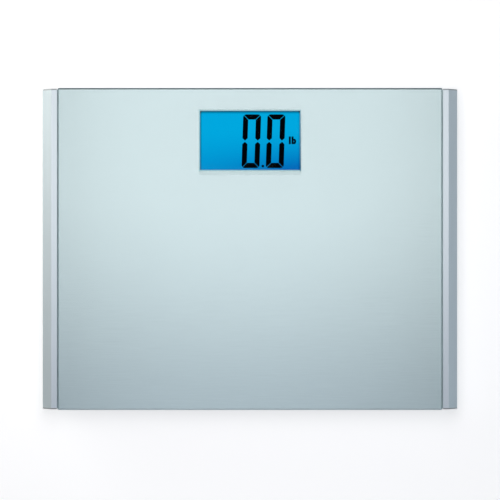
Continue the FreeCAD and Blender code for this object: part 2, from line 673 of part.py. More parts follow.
# ---------------------------------------------------------------- feet
def make_foot(name, x, y, a, b):
    """A foot: rubber pad, cup, the retainer under the sensor, and the sensor plate."""
    pad = new_body(name + "_pad")
    tread = [("0", "0")]
    for radius in ("groove_step", "2 * groove_step"):
        tread += [
            (radius, "0"),
            (radius, "pad_groove"),
            (radius + " + groove_width", "pad_groove"),
            (radius + " + groove_width", "0"),
        ]
    rim = "foot_radius - foot_wall + pad_chamfer / 2 - fit_gap"
    tread += [
        (rim + " - pad_chamfer", "0"),
        (rim, "pad_chamfer"),
        (rim, "pad_thickness"),
        ("0", "pad_thickness"),
    ]
    turn(pad, name + "_pad_turned", tread)

    cup = new_body(name + "_cup")
    turn(cup, name + "_cup_turned", [
        ("0", "pad_thickness"),
        (rim + " + fit_gap", "pad_thickness"),
        (rim + " + fit_gap", "pad_thickness - foot_skirt"),
        ("foot_radius", "pad_thickness - foot_skirt"),
        ("foot_radius", "foot_flange_low"),
        ("foot_radius + foot_flange", "foot_flange_low"),
        ("foot_radius + foot_flange", "foot_flange_top"),
        ("foot_radius - foot_wall", "foot_flange_top"),
        ("foot_radius - foot_wall", "pad_thickness + foot_base"),
        ("post_radius", "pad_thickness + foot_base"),
        ("post_radius", "sensor_low"),
        ("0", "sensor_low"),
    ])

    retainer = new_body(name.replace("foot", "cell_retainer"))
    add(retainer, name + "_retainer_disc", "retainer_low", "sensor_low",
        circle("0", "0", "retainer_radius"))
    add(retainer, name + "_retainer_bar", "retainer_low", "sensor_low",
        rectangle("-ear_reach", "ear_reach", "-ear_radius", "ear_radius"))
    add(retainer, name + "_retainer_ears", "retainer_low", "sensor_low",
        circle("-ear_reach", "0", "ear_radius"), circle("ear_reach", "0", "ear_radius"))
    remove(retainer, name + "_retainer_bore", "retainer_low", "sensor_low",
           circle("0", "0", "retainer_bore"),
           circle("-ear_reach", "0", "small_radius + screw_play"),
           circle("ear_reach", "0", "small_radius + screw_play"))
    retainer.Placement = Placement(Vector(), Rotation(Vector(0, 0, 1), -45 * a * b))

    sensor = new_body(name.replace("foot", "load_cell"))
    side = "sensor_side / 2"
    add(sensor, name + "_sensor_plate", "sensor_low", "sensor_top",
        rectangle("-sensor_side / 2", side, "-sensor_side / 2", side))
    dress(sensor, "Fillet", "sensor_slot", is_upright)
    reach = "sensor_slot_reach"
    outside = "sensor_tongue + sensor_slot"
    remove(sensor, name + "_sensor_slot", "sensor_low", "sensor_top", polygon([
        ("-(%s)" % outside, "-" + reach),
        (outside, "-" + reach),
        (outside, reach),
        ("sensor_tongue", reach),
        ("sensor_tongue", "-%s + sensor_slot" % reach),
        ("-sensor_tongue", "-%s + sensor_slot" % reach),
        ("-sensor_tongue", reach),
        ("-(%s)" % outside, reach),
    ]))
    sensor.Placement = Placement(Vector(), Rotation(Vector(0, 0, 1), 180 if b > 0 else 0))

    for body in (pad, cup, retainer, sensor):
        body.setExpression(".Placement.Base.x", linked(x))
        body.setExpression(".Placement.Base.y", linked(y))


def make_gauge_covers():
    """A block of potting over each sensor's strain gauge, where its cable starts."""
    blocks = []
    for a, b, x, y in FEET:
        centre = signed(b, "foot_y - gauge_offset")
        blocks.append(box("gauge_cover_%d" % (len(blocks) + 1),
                          x + " - gauge_length / 2", x + " + gauge_length / 2",
                          centre + " - gauge_width / 2", centre + " + gauge_width / 2",
                          "sensor_top", "cable_level + cable_radius + fit_gap"))
    group("gauge_covers", blocks)


def sweep_wire(path, radius):
    """A round wire along a path."""
    start = path.Edges[0]
    direction = start.tangentAt(start.FirstParameter)
    section = Part.Wire(Part.Circle(start.Vertexes[0].Point, direction, radius).toShape())
    return path.makePipeShell([section], True, False)


def make_cord(name, route, level, radius):
    """An internal lead: straight runs joined by tangent arcs, at one height."""
    corners = [Vector(value(x), value(y), value(level)) for x, y in route]
    edges = []
    start = corners[0]
    for before, corner, after in zip(corners, corners[1:], corners[2:]):
        incoming = (before - corner).normalize()
        outgoing = (after - corner).normalize()
        half_turn = (math.pi - incoming.getAngle(outgoing)) / 2
        shorter = min(corner.distanceToPoint(before), corner.distanceToPoint(after))
        setback = 0.45 * shorter
        bend = setback / math.tan(half_turn)
        print("%s bend radius %.1f mm" % (name, bend))
        entry = corner + incoming * setback
        leave = corner + outgoing * setback
        inward = (incoming + outgoing).normalize()
        middle = corner + inward * (bend / math.cos(half_turn) - bend)
        edges.append(Part.LineSegment(start, entry).toShape())
        edges.append(Part.Arc(entry, middle, leave).toShape())
        start = leave
    edges.append(Part.LineSegment(start, corners[-1]).toShape())
    path = Part.Wire(edges)
    cord = doc.addObject("Part::Feature", name)
    cord.Shape = sweep_wire(path, value(radius))
    expected = math.pi * value(radius) ** 2 * path.Length
    if abs(cord.Shape.Volume / expected - 1) > 0.01:
        raise RuntimeError(name + " has lost its section")
    finish_piece(cord, name)


# ---------------------------------------------------------------- display
def make_display():
    """The display module: frame, glass panel, backlight stack, contact strip and board."""
    frame = new_body("lcd_frame")
    add(frame, "frame_block", "board_top", "lip_top",
        rectangle("-frame_half_x", "frame_half_x", "frame_near", "frame_far"))
    dress(frame, "Fillet", "glass_corner", is_upright)
    add(frame, "frame_ears", "board_top", "ear_top",
        *[rectangle(left, right, y + " - display_ear / 2", y + " + display_ear / 2")
          for y in ("board_screw_near", "board_screw_far")
          for left, right in (("-board_half_x", "-frame_half_x + fit_gap"),
                              ("frame_half_x - fit_gap", "board_half_x"))])
    remove(frame, "frame_pocket", "board_top", "panel_top",
           rectangle("-panel_half_x - display_clearance", "panel_half_x + display_clearance",
                     "panel_near - display_clearance", "panel_far + display_clearance"))
    remove(frame, "frame_window", "panel_top", "lip_top",
           rectangle("-window_half_x + window_rim", "window_half_x - window_rim",
                     "window_near + window_rim", "window_far - window_rim"))
    remove(frame, "frame_screw_holes", "board_top", "ear_top",
           *[circle(x, y, "small_radius + screw_play") for x, y in BOARD_SCREWS])

    panel = new_body("lcd_panel")
    ledge = "panel_near + zebra_width + 2 * display_clearance"
    add(panel, "panel_front_glass", "panel_low + panel_step", "panel_top",
        rectangle("-panel_half_x", "panel_half_x", "panel_near", "panel_far"))
    add(panel, "panel_rear_glass", "panel_low", "panel_low + panel_step",
        rectangle("-panel_half_x", "panel_half_x", ledge, "panel_far"))

    stack_right = "panel_half_x - led_width - 2 * display_clearance"
    for name, low, high in (("diffuser_film", "diffuser_low", "panel_low"),
                            ("light_guide", "guide_low", "diffuser_low"),
                            ("reflector_film", "board_top", "guide_low")):
        finish_piece(box(name, "-panel_half_x", stack_right, ledge, "panel_far", low, high), name)

    leds = []
    for i in range(3):
        middle = "panel_near + (panel_far - panel_near) * %s" % (0.25 + 0.25 * i)
        leds.append(box("backlight_led_%d" % (i + 1), "panel_half_x - led_width", "panel_half_x",
                        middle + " - led_width", middle + " + led_width", "board_top", "diffuser_low"))
    group("backlight_leds", leds)
    finish_piece(box("zebra_strip", "-window_half_x", "window_half_x", "panel_near",
                     "panel_near + zebra_width", "board_top", "panel_low + panel_step"), "zebra_strip")

    board = new_body("main_pcb")
    add(board, "board_blank", "board_low", "board_top",
        rectangle("-board_half_x", "board_half_x", "board_near", "frame_far"))
    dress(board, "Fillet", "glass_corner", is_upright)
    remove(board, "board_screw_holes", "board_low", "board_top",
           *[circle(x, y, "small_radius + screw_play") for x, y in BOARD_SCREWS])


# Small parts under the board: place in chip radii, half sizes and depth in millimetres.
SMALL_PARTS = [
    (-2.4, 0.6, 1.6, 0.8, 0.6), (-2.4, 1.2, 1.6, 0.8, 0.6), (-2.4, -0.6, 1.0, 0.6, 0.5),
    (1.9, 1.4, 1.6, 0.8, 0.6), (2.6, 0.2, 2.4, 1.2, 1.4), (1.9, -1.2, 1.0, 0.6, 0.5),
    (-0.9, 2.0, 1.0, 0.6, 0.5), (0.4, 2.0, 1.0, 0.6, 0.5), (0.2, -2.2, 3.8, 1.6, 1.5),
]


def make_board_parts():
    """What is soldered to the board: potted chip, small parts, switch and cable sockets."""
    chip_y = "(window_near + window_far) / 2"
    chip = new_body("chip_blob")
    turn(chip, "chip_dome", [
        ("0", "board_low"),
        ("0", "board_low - chip_height"),
        ("chip_radius * 0.6", "board_low - chip_height * 0.85"),
        ("chip_radius * 0.9", "board_low - chip_height * 0.4"),
        ("chip_radius", "board_low"),
    ])
    chip.setExpression(".Placement.Base.y", linked(chip_y))

    parts = []
    for i, (step_x, step_y, half_x, half_y, depth) in enumerate(SMALL_PARTS):
        x = "chip_radius * %s" % step_x
        y = "%s + chip_radius * %s" % (chip_y, step_y)
        parts.append(box("board_part_%d" % (i + 1), "%s - %s" % (x, half_x), "%s + %s" % (x, half_x),
                         "%s - %s" % (y, half_y), "%s + %s" % (y, half_y),
                         "board_low - %s" % depth, "board_low"))
    group("pcb_components", parts)

    bore = "plunger_radius + pin_clearance"
    half = "switch_side / 2"
    case = box("switch_case", "button_x - " + half, "button_x + " + half,
               "button_y - " + half, "button_y + " + half, "switch_low", "board_low")
    hole = cylinder("switch_bore", "button_x", "button_y", "switch_low",
                    "switch_low + button_travel + plunger_proud", bore)
    finish_piece(subtract("unit_switch", case, [hole]), "unit_switch")
    finish_piece(cylinder("switch_plunger", "button_x", "button_y", "plunger_low",
                          "switch_low + plunger_proud - fit_gap", "plunger_radius"), "switch_plunger")

    sockets = []
    for side in (-1, 1):
        for x in ("plug_inner", "plug_outer"):
            middle = signed(side, x)
            sockets.append(box("plug_%d" % (len(sockets) + 1),
                               middle + " - plug_width / 2", middle + " + plug_width / 2",
                               "plug_near", "plug_near + plug_depth",
                               "board_top", "board_top + plug_height"))
    group("sensor_plugs", sockets)


# ---------------------------------------------------------------- battery bay
def coil_path():
    """The line of one contact spring, its turns made of quarter arcs that climb evenly."""
    radius = value("spring_radius")
    rise = value("spring_length - 2 * spring_wire")
    quarters = int(value("spring_turns * 4"))

    def point(turned):
        angle = turned * math.pi / 2
        return Vector(radius * math.cos(angle), radius * math.sin(angle), rise * turned / quarters)

    return Part.Wire([Part.Arc(point(i), point(i + 0.5), point(i + 1)).toShape() for i in range(quarters)])


def make_batteries():
    """Four cells laid side by side, alternate ones turned round, with their contacts."""
    left = "-bay_half_x + contact_thickness"
    right = "bay_half_x - contact_thickness"
    for i in range(4):
        y = battery_y(i)
        turned = i % 2 == 1
        can = doc.addObject("Part::Cylinder", "battery_%d_can" % (i + 1))
        nub = doc.addObject("Part::Cylinder", "battery_%d_nub" % (i + 1))
        can.Placement = Placement(Vector(), Rotation(Vector(0, 1, 0), 90))
        nub.Placement = Placement(Vector(), Rotation(Vector(0, 1, 0), 90))
        can.setExpression("Radius", linked("cell_diameter / 2"))
        can.setExpression("Height", linked("cell_length"))
        nub.setExpression("Radius", linked("nub_radius"))
        nub.setExpression("Height", linked("nub_length + fit_gap"))
        if turned:
            place(can, left + " + nub_length", y, "cell_centre")
            place(nub, left, y, "cell_centre")
        else:
            place(can, right + " - nub_length - cell_length", y, "cell_centre")
            place(nub, right + " - nub_length - fit_gap", y, "cell_centre")
        finish_piece(fuse("battery_%d" % (i + 1), [can, nub]), "battery_%d" % (i + 1))

    spring = doc.addObject("Part::Feature", "spring_master")
    spring.Shape = sweep_wire(coil_path(), value("spring_wire"))
    springs = []
    for i in range(4):
        turned = i % 2 == 1
        link = doc.addObject("App::Link", "battery_spring_%d" % (i + 1))
        link.LinkedObject = spring
        link.Placement = Placement(Vector(), Rotation(Vector(0, 1, 0), -90 if turned else 90))
        place(link, right + " - spring_wire" if turned else left + " + spring_wire",
              battery_y(i), "cell_centre")
        springs.append(link)
    group("battery_springs", springs)

    plates = []
    for ends, side in (((0, 0), -1), ((1, 2), -1), ((3, 3), -1), ((0, 1), 1), ((2, 3), 1)):
        outer = signed(side, "bay_half_x")
        inner = signed(side, "bay_half_x - contact_thickness")
        low_x, high_x = (outer, inner) if side < 0 else (inner, outer)
        plates.append(box("battery_plate_%d" % (len(plates) + 1), low_x, high_x,
                          battery_y(ends[0]) + " - contact_width / 2",
                          battery_y(ends[1]) + " + contact_width / 2",
                          "cell_low + fit_gap", "deck_low - 3 * fit_gap"))
    group("battery_plates", plates)


def make_door():
    """Battery door: a flush plate with a hinge barrel, two pins and a latch tongue."""
    door = new_body("battery_door")
    add(door, "door_plate", "tray_low", "tray_low + door_thickness",
        rectangle("-bay_half_x + door_gap", "bay_half_x - door_gap", "bay_near + door_gap", "hinge_y"))
    across(door, "door_barrel", "Pad", "YZ_Plane", "bay_half_x - door_gap",
           circle("hinge_y", "hinge_level", "barrel_radius"))
    across(door, "door_pins", "Pad", "YZ_Plane", "bay_half_x + pin_engagement",
           circle("hinge_y", "hinge_level", "pin_radius"))
    add(door, "door_latch", "tray_low + door_thickness", "tray_low + door_thickness + latch_height",
        rectangle("-latch_width / 2", "latch_width / 2",
                  "bay_near + door_gap", "bay_near + door_gap + latch_arm"))
    remove(door, "door_grip", "tray_low", "tray_low + grip_height",
           *[rectangle("-latch_width / 2", "latch_width / 2",
                       "bay_near + door_gap + grip_setback + %d * grip_width" % (2 * i),
                       "bay_near + door_gap + grip_setback + %d * grip_width" % (2 * i + 1))
             for i in range(3)])


def make_button():
    """Unit button: a cap in the floor, a flange that keeps it in, and a stem to the switch."""
    button = new_body("unit_button")
    add(button, "button_cap", "tray_low - button_proud", "tray_in + fit_gap",
        circle("button_x", "button_y", "button_radius"))
    add(button, "button_rim", "tray_in + fit_gap", "button_top",
        circle("button_x", "button_y", "button_radius + button_flange"))
    add(button, "button_stem", "button_top", "plunger_low", circle("button_x", "button_y", "stem_radius"))


def lead_route(index, lane, end):
    """A battery lead's corner points, from its contact plate to the board."""
    y = battery_y(index)
    column = "-bay_half_x - bay_wall - lead_turn - %s * lead_spacing" % lane
    row = "bay_far + bay_wall + %s * lead_spacing" % (lane + 1)
    return [
        ("-bay_half_x", y),
        (column, y),
        (column, row),
        (end, row),
        (end, "plug_near"),
    ]


# ---------------------------------------------------------------- assembly
make_glass()
make_film()
make_tape()
make_rail("right_rail", 0)
make_rail("left_rail", 180)
for side, angle in (("right", 0), ("left", 180)):
    for end, direction in (("far", 1), ("near", -1)):
        make_cap("%s_%s_cap" % (side, end), angle, direction if angle == 0 else -direction)
make_tray()
make_chassis()
for a, b, x, y in FEET:
    make_foot("%s_%s_foot" % ("right" if a > 0 else "left", "far" if b > 0 else "near"), x, y, a, b)
make_gauge_covers()
make_display()
make_board_parts()
make_batteries()
make_door()
make_button()
for a, b, x, y in FEET:
    make_cord("%s_%s_cable" % ("right" if a > 0 else "left", "far" if b > 0 else "near"),
              cable_route(a, b), "cable_level", "cable_radius")
make_cord("negative_lead", lead_route(0, 1, "-lead_pad_outer"), "cable_level", "lead_radius")
make_cord("positive_lead", lead_route(3, 0, "-lead_pad_inner"), "cable_level", "lead_radius")
screws("base_screws", BASE_SCREWS, "head_top", "screw_tip", "screw_radius", "head_radius", "head_height")
screws("rail_screws", RAIL_SCREWS, "head_top", "screw_tip", "screw_radius", "head_radius", "head_height")
screws("retainer_screws", RETAINER_SCREWS, "retainer_low", "screw_tip", "small_radius",
       "small_head", "small_head_height")
screws("board_screws", BOARD_SCREWS, "board_low", "screw_tip", "small_radius",
       "small_head", "small_head_height")
doc.recompute()

# ---------------------------------------------------------------- checks and files
for thing in doc.Objects:
    if "Invalid" in thing.State or "Error" in thing.State:
        raise RuntimeError("%s did not compute: %s" % (thing.Label, thing.State))
for piece in pieces:
    if piece.Shape.isNull() or not piece.Shape.isValid() or not piece.Shape.Solids:
        raise RuntimeError("%s has no valid solid" % piece.Label)

os.makedirs("parts", exist_ok=True)
for piece in pieces:
    piece.Shape.exportStep("parts/%s.step" % piece.Label)
print("%d sub-parts written" % len(pieces))
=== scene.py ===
import bpy
import numpy as np
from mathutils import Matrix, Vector


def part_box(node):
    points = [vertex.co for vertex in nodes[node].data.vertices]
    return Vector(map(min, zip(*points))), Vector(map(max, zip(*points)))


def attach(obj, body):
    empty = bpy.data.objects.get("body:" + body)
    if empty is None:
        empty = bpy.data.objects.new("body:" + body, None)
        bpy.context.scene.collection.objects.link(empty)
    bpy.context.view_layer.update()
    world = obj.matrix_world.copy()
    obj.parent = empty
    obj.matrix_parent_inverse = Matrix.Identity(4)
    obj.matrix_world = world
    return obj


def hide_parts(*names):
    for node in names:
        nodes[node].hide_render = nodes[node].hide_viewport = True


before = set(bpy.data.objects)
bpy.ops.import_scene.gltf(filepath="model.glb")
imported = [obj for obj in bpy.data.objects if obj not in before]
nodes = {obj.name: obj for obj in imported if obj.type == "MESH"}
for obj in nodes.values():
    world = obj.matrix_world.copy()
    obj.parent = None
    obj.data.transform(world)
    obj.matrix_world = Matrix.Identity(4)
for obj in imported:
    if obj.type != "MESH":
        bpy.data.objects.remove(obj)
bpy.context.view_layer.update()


# ---- camera
# A long lens straight above the glass, with the display side at the top of the picture.
MM = 0.001
VIEW_WIDTH = 473.35 * MM
CAMERA_HEIGHT = 3.0
PICTURE_DROP = 0.95 * MM
SENSOR = 36.0
glass_low, glass_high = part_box("glass_platform")
camera_data = bpy.data.cameras.new("camera")
camera_data.sensor_width = SENSOR
camera_data.lens = SENSOR * (CAMERA_HEIGHT - glass_high.z) / VIEW_WIDTH
camera_data.clip_start = 0.05
camera_data.clip_end = 50
camera = bpy.data.objects.new("camera", camera_data)
camera.location = (0, -PICTURE_DROP, CAMERA_HEIGHT)
bpy.context.scene.collection.objects.link(camera)
bpy.context.scene.camera = camera
bpy.context.scene.view_settings.view_transform = "Standard"


# ---- studio
# A white floor, a graded card overhead and a low soft box at each side.  The card is brightest over
# the display side, so the silver film darkens towards the near edge; the boxes light the rails' slopes.
def linear(code):
    """The linear red, green and blue of an sRGB hex colour: each channel c is
    c / 12.92 below 0.04045 and ((c + 0.055) / 1.055) ** 2.4 above it."""
    channels = np.array([int(code[i:i + 2], 16) for i in (0, 2, 4)]) / 255.0
    return np.where(channels <= 0.04045, channels / 12.92, ((channels + 0.055) / 1.055) ** 2.4)


def rgba(code, alpha=1.0):
    """The same colour with an alpha, as a socket takes it."""
    return (*linear(code), alpha)


def add(tree, kind, values=None, **settings):
    """Add one node, with its settings, its input values, and links where a value is an output."""
    node = tree.nodes.new(kind)
    for name, setting in settings.items():
        setattr(node, name, setting)
    for name, given in (values or {}).items():
        if isinstance(given, bpy.types.NodeSocket):
            tree.links.new(given, node.inputs[name])
        else:
            node.inputs[name].default_value = given
    return node


def new_material(name):
    """An empty node material and its tree."""
    material = bpy.data.materials.new(name)
    material.use_nodes = True
    material.node_tree.nodes.clear()
    return material, material.node_tree


def softbox(name, place, target, size, watts, tint):
    """A rectangular area light at a place, turned towards a target, unseen by the camera."""
    light = bpy.data.lights.new(name, "AREA")
    light.shape = "RECTANGLE"
    light.size, light.size_y = size
    light.energy = watts
    light.color = tint
    box = bpy.data.objects.new(name, light)
    box.rotation_euler = (Vector(target) - Vector(place)).to_track_quat("-Z", "Y").to_euler()
    box.location = place
    box.visible_camera = False
    bpy.context.scene.collection.objects.link(box)


def rectangle(name, half_x, low_y, high_y, height):
    """A flat rectangle facing up, as a stage object."""
    mesh = bpy.data.meshes.new(name)
    mesh.from_pydata([(-half_x, low_y, height), (half_x, low_y, height), (half_x, high_y, height),
                      (-half_x, high_y, height)], [], [(0, 1, 2, 3)])
    sheet = bpy.data.objects.new(name, mesh)
    bpy.context.scene.collection.objects.link(sheet)
    return sheet


# Seen directly, the paper is lifted by PAPER_GLOW towards white; PAPER_SPILL is the little that it
# adds to the light on the object.
FLOOR_REACH = 6.0
PAPER_SPILL, PAPER_GLOW = 0.12, 0.62
floor = rectangle("floor", FLOOR_REACH, -FLOOR_REACH, FLOOR_REACH, 0.0)
floor_material, tree = new_material("white_studio_floor")
rays = add(tree, "ShaderNodeLightPath")
lift = add(tree, "ShaderNodeMapRange", {"Value": rays.outputs["Is Camera Ray"], "To Min": PAPER_SPILL,
                                        "To Max": PAPER_GLOW})
floor_surface = add(tree, "ShaderNodeBsdfPrincipled", {
    "Base Color": rgba("F0F1F1"), "Roughness": 0.9,
    "Emission Color": (1, 1, 1, 1), "Emission Strength": lift.outputs[0]})
add(tree, "ShaderNodeOutputMaterial", {"Surface": floor_surface.outputs[0]})
floor.data.materials.append(floor_material)

# The surround is faint at the horizon and black overhead.
HORIZON_LIGHT = 0.06
world = bpy.data.worlds.new("studio_surround")
world.use_nodes = True
tree = world.node_tree
direction = add(tree, "ShaderNodeTexCoord")
rise = add(tree, "ShaderNodeSeparateXYZ", {"Vector": direction.outputs["Generated"]})
dusk = add(tree, "ShaderNodeMapRange", {"Value": rise.outputs["Z"], "From Min": 0.5, "From Max": 0.97,
                                        "To Min": HORIZON_LIGHT, "To Max": 0.0},
           interpolation_type="SMOOTHSTEP")
tree.links.new(dusk.outputs[0], tree.nodes["Background"].inputs["Strength"])
tree.nodes["Background"].inputs["Color"].default_value = (1, 1, 1, 1)
bpy.context.scene.world = world

# The card's colours are given along its depth, and its glow falls off to each side as
# 1 - CARD_FALLOFF * (x + CARD_SHIFT) ** 2.
CARD_HEIGHT, CARD_HALF_X, CARD_NEAR, CARD_FAR = 0.7, 0.9, -0.6, 0.9
CARD_GLOW, CARD_FALLOFF, CARD_SHIFT = 2.42, 5.0, 0.01
CARD_STOPS = [(-0.6, (0.17, 0.18, 0.21)), (-0.35, (0.28, 0.29, 0.34)), (-0.15, (0.36, 0.36, 0.41)),
              (0.05, (0.93, 0.91, 0.93)), (0.3, (0.75, 0.73, 0.76)), (0.9, (0.14, 0.14, 0.15))]
card = rectangle("overhead_card", CARD_HALF_X, CARD_NEAR, CARD_FAR, CARD_HEIGHT)
card.visible_camera = False
card_material, tree = new_material("graded_overhead_card")
where = add(tree, "ShaderNodeTexCoord")
split = add(tree, "ShaderNodeSeparateXYZ", {"Vector": where.outputs["Object"]})
along = add(tree, "ShaderNodeMapRange", {"Value": split.outputs["Y"], "From Min": CARD_NEAR,
                                         "From Max": CARD_FAR})
ramp = add(tree, "ShaderNodeValToRGB", {"Fac": along.outputs[0]})
ramp.color_ramp.interpolation = "LINEAR"
while len(ramp.color_ramp.elements) < len(CARD_STOPS):
    ramp.color_ramp.elements.new(0.5)
for element, (stop, tint) in zip(ramp.color_ramp.elements, CARD_STOPS):
    element.position = (stop - CARD_NEAR) / (CARD_FAR - CARD_NEAR)
    element.color = (*tint, 1.0)
aside = add(tree, "ShaderNodeMath", {0: split.outputs["X"], 1: CARD_SHIFT}, operation="ADD")
square = add(tree, "ShaderNodeMath", {0: aside.outputs[0], 1: 2.0}, operation="POWER")
falloff = add(tree, "ShaderNodeMath", {0: square.outputs[0], 1: -CARD_FALLOFF * CARD_GLOW,
                                       2: CARD_GLOW}, operation="MULTIPLY_ADD")
level = add(tree, "ShaderNodeMath", {0: falloff.outputs[0], 1: 0.0}, operation="MAXIMUM")
glow = add(tree, "ShaderNodeEmission", {"Color": ramp.outputs["Color"], "Strength": level.outputs[0]})
add(tree, "ShaderNodeOutputMaterial", {"Surface": glow.outputs[0]})
card.data.materials.append(card_material)

# A small black flag under the card keeps its reflection off the display.
FLAG_HALF_X, FLAG_NEAR, FLAG_FAR, FLAG_DROP = 0.0590, 0.0860, 0.1620, 0.01
flag = rectangle("black_flag", FLAG_HALF_X, FLAG_NEAR, FLAG_FAR, CARD_HEIGHT - FLAG_DROP)
flag.visible_camera = False
flag.visible_shadow = False
flag_material, tree = new_material("black_velvet")
add(tree, "ShaderNodeOutputMaterial", {"Surface": add(tree, "ShaderNodeBsdfPrincipled", {
    "Base Color": (0, 0, 0, 1), "Roughness": 1.0, "Specular IOR Level": 0.0}).outputs[0]})
flag.data.materials.append(flag_material)

softbox("left_box", (-0.9, 0.43, 0.12), (-0.2, 0.06, 0.0), (0.8, 0.2), 5.4, (1.0, 1.0, 0.94))
softbox("right_box", (0.9, -0.15, 0.12), (0.2, 0, 0.0), (1.2, 0.2), 1.4, (0.65, 0.85, 1.0))


# ---- shared finish: coordinates in millimetres
# Every pattern below is drawn in real millimetres on the object's own coordinates.
def millimetres(tree):
    """The surface point in millimetres."""
    where = add(tree, "ShaderNodeTexCoord")
    return add(tree, "ShaderNodeMapping", {"Vector": where.outputs["Object"], "Scale": (1000, 1000, 1000)},
               vector_type="POINT").outputs[0]


def finish(tree, surface):
    """Join a surface to the material's output."""
    add(tree, "ShaderNodeOutputMaterial", {"Surface": surface})


def coat(names, material):
    """Give CAD nodes a material in the slot they already have."""
    for name in names:
        nodes[name].material_slots[0].material = material


# ---- glass platform
# Tempered float glass, 6 mm, ground and polished at the edges.  Clear from above with a faint green
# cast; the bevel is frosted, and its colour is painted light and shade: grey along the far edge, pale along
# the near one.
EDGE_BAND = 1.5
glass_material, tree = new_material("tempered_float_glass")
point = millimetres(tree)
split = add(tree, "ShaderNodeSeparateXYZ", {"Vector": point})
edge_x = add(tree, "ShaderNodeMath", {0: split.outputs["X"]}, operation="ABSOLUTE")
edge_y = add(tree, "ShaderNodeMath", {0: split.outputs["Y"]}, operation="ABSOLUTE")
over_x = add(tree, "ShaderNodeMath", {0: edge_x.outputs[0], 1: glass_high.x / MM - EDGE_BAND},
             operation="GREATER_THAN")
over_y = add(tree, "ShaderNodeMath", {0: edge_y.outputs[0], 1: glass_high.y / MM - EDGE_BAND},
             operation="GREATER_THAN")
ground = add(tree, "ShaderNodeMath", {0: over_x.outputs[0], 1: over_y.outputs[0]}, operation="MAXIMUM")
# Painted light and shade on the bevel: dark grey on the far edge stands for shade, pale grey on the near
# edge for a highlight, mid grey on the sides.
far_side = add(tree, "ShaderNodeMath", {0: split.outputs["Y"], 1: 0.0}, operation="GREATER_THAN")
far_shade_or_near_highlight = add(tree, "ShaderNodeMix", {"Factor": far_side.outputs[0], "A": rgba("C6D2D8"),
                                          "B": rgba("4F5E62")}, data_type="RGBA")
painted_bevel_light_and_shade = add(tree, "ShaderNodeMix", {"Factor": over_y.outputs[0], "A": rgba("A5B5B8"),
                                        "B": far_shade_or_near_highlight.outputs["Result"]}, data_type="RGBA")
grit = add(tree, "ShaderNodeTexNoise", {"Vector": point, "Scale": 3.0, "Detail": 4.0, "Roughness": 0.7})
frost = add(tree, "ShaderNodeBump", {"Height": grit.outputs["Fac"], "Strength": 0.25, "Distance": 0.02 * MM})
smear = add(tree, "ShaderNodeTexNoise", {"Vector": point, "Scale": 0.03, "Detail": 5.0, "Roughness": 0.6})
smear_roughness = add(tree, "ShaderNodeMapRange", {"Value": smear.outputs["Fac"], "From Min": 0.4,
                                                   "From Max": 0.7, "To Min": 0.0, "To Max": 0.03})
clear = add(tree, "ShaderNodeBsdfPrincipled", {
    "Base Color": rgba("F4FBF9"), "Transmission Weight": 1.0, "IOR": 1.5,
    "Roughness": smear_roughness.outputs[0]})
edge = add(tree, "ShaderNodeBsdfPrincipled", {
    "Base Color": painted_bevel_light_and_shade.outputs["Result"], "Transmission Weight": 0.6, "IOR": 1.5, "Roughness": 0.3,
    "Normal": frost.outputs[0]})
body = add(tree, "ShaderNodeMixShader", {0: ground.outputs[0], 1: clear.outputs[0], 2: edge.outputs[0]})
rays = add(tree, "ShaderNodeLightPath")
passing = add(tree, "ShaderNodeBsdfTransparent", {"Color": rgba("F2F8F6")})
bounced = add(tree, "ShaderNodeMath", {0: rays.outputs["Is Diffuse Ray"], 1: rays.outputs["Is Glossy Ray"]},
              operation="MAXIMUM")
straight = add(tree, "ShaderNodeMath", {0: bounced.outputs[0], 1: rays.outputs["Is Shadow Ray"]},
               operation="MAXIMUM")
lit = add(tree, "ShaderNodeMixShader", {0: straight.outputs[0], 1: body.outputs[0], 2: passing.outputs[0]})
finish(tree, lit.outputs[0])
coat(["glass_platform"], glass_material)


# ---- backing film
# Polyester film printed with a brushed stainless pattern and bonded to the underside of the glass.
# The brushing runs across the width: fine streaks tens of millimetres long and a few tenths wide.
film_material, tree = new_material("brushed_silver_film")
point = millimetres(tree)
streak_space = add(tree, "ShaderNodeMapping", {"Vector": point, "Scale": (0.02, 1.6, 1.0)})
streaks = add(tree, "ShaderNodeTexNoise", {"Vector": streak_space.outputs[0], "Scale": 1.0, "Detail": 6.0,
                                           "Roughness": 0.65})
fine_space = add(tree, "ShaderNodeMapping", {"Vector": point, "Scale": (0.05, 5.0, 1.0)})
fine = add(tree, "ShaderNodeTexNoise", {"Vector": fine_space.outputs[0], "Scale": 1.0, "Detail": 2.0})
both = add(tree, "ShaderNodeMath", {0: streaks.outputs["Fac"], 1: fine.outputs["Fac"]}, operation="ADD")
tone = add(tree, "ShaderNodeMapRange", {"Value": both.outputs[0], "From Min": 0.6, "From Max": 1.4})
silver = add(tree, "ShaderNodeMix", {"Factor": tone.outputs[0], "A": rgba("D2D6DC"), "B": rgba("E0E3E9")},
             data_type="RGBA")
gloss = add(tree, "ShaderNodeMapRange", {"Value": both.outputs[0], "From Min": 0.6, "From Max": 1.4,
                                         "To Min": 0.30, "To Max": 0.36})
brushing = add(tree, "ShaderNodeBump", {"Height": both.outputs[0], "Strength": 0.10, "Distance": 0.02 * MM})
film = add(tree, "ShaderNodeBsdfPrincipled", {
    "Base Color": silver.outputs["Result"], "Metallic": 0.85, "Roughness": gloss.outputs[0],
    "Normal": brushing.outputs[0]})
finish(tree, film.outputs[0])


